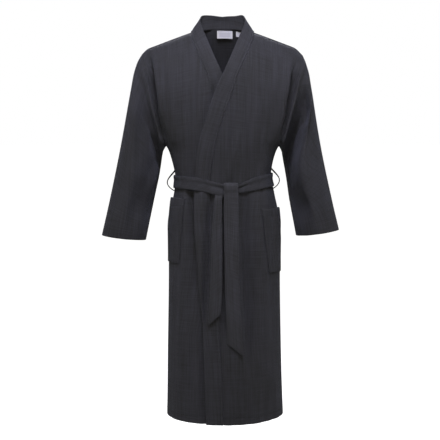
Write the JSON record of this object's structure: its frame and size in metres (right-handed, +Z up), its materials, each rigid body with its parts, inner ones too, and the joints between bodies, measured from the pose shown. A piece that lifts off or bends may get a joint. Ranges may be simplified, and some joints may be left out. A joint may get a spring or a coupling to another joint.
{
  "type": "bathrobe",
  "caption": "Long kimono-style bathrobe, left front wrapped over right, with a wide collar band, straight sleeves, patch pockets and a tied waist belt.",
  "frame": {"origin": "neck seat: midway between the neck ends of the two shoulder seams, at their height", "axes": "+Z up along the robe, -Y towards the front, +X towards the wearer's left"},
  "size_m": [0.737, 0.2692, 1.2308],
  "materials": {
    "robe_cloth": "matte woven",
    "band_cloth": "matte woven",
    "belt_cloth": "matte woven",
    "loop_thread": "matte thread",
    "label_cloth": "satin woven"
  },
  "bodies": {
    "robe": {"back_panel": "robe_cloth", "hem_back": "robe_cloth", "front_right": "robe_cloth", "hem_front_right": "robe_cloth", "front_left": "robe_cloth", "pocket_left": "robe_cloth", "pocket_hem_left": "robe_cloth", "pocket_right": "robe_cloth", "pocket_hem_right": "robe_cloth", "collar_back": "band_cloth", "front_band_right": "band_cloth", "front_band_left": "band_cloth", "belt_waist": "belt_cloth", "belt_knot": "belt_cloth", "belt_loop_left": "loop_thread", "belt_loop_right": "loop_thread", "main_label": "label_cloth", "size_label": "label_cloth"},
    "front_skirt": {"front_left_skirt": "robe_cloth", "hem_front_left": "robe_cloth", "front_band_left_skirt": "band_cloth"},
    "left_sleeve": {"sleeve_left": "robe_cloth", "cuff_hem_left": "robe_cloth"},
    "right_sleeve": {"sleeve_right": "robe_cloth", "cuff_hem_right": "robe_cloth"},
    "long_tail": {"belt_tail_long": "belt_cloth"},
    "short_tail": {"belt_tail_short": "belt_cloth"}
  },
  "joints": [
    {"name": "front_skirt_open", "type": "hinge", "parent": "robe", "child": "front_skirt", "pos_m": [0.192, 0, -0.966], "axis": [0, 0, 1], "range_deg": [0, 25]},
    {"name": "sleeve_left_lift", "type": "hinge", "parent": "robe", "child": "left_sleeve", "pos_m": [0.2468, 0, -0.054], "axis": [0, -1, 0], "range_deg": [0, 45]},
    {"name": "sleeve_right_lift", "type": "hinge", "parent": "robe", "child": "right_sleeve", "pos_m": [-0.2468, 0, -0.054], "axis": [0, 1, 0], "range_deg": [0, 45]},
    {"name": "belt_tail_long_swing", "type": "hinge", "parent": "robe", "child": "long_tail", "pos_m": [0.025, -0.135, -0.498], "axis": [-1, 0, 0], "range_deg": [0, 25]},
    {"name": "belt_tail_short_swing", "type": "hinge", "parent": "robe", "child": "short_tail", "pos_m": [-0.015, -0.132, -0.499], "axis": [-1, 0, 0], "range_deg": [0, 25]}
  ],
  "couplings": [
    {"joint": "belt_tail_long_swing", "follows": "front_skirt_open", "ratio": 1},
    {"joint": "belt_tail_short_swing", "follows": "front_skirt_open", "ratio": 1}
  ]
}
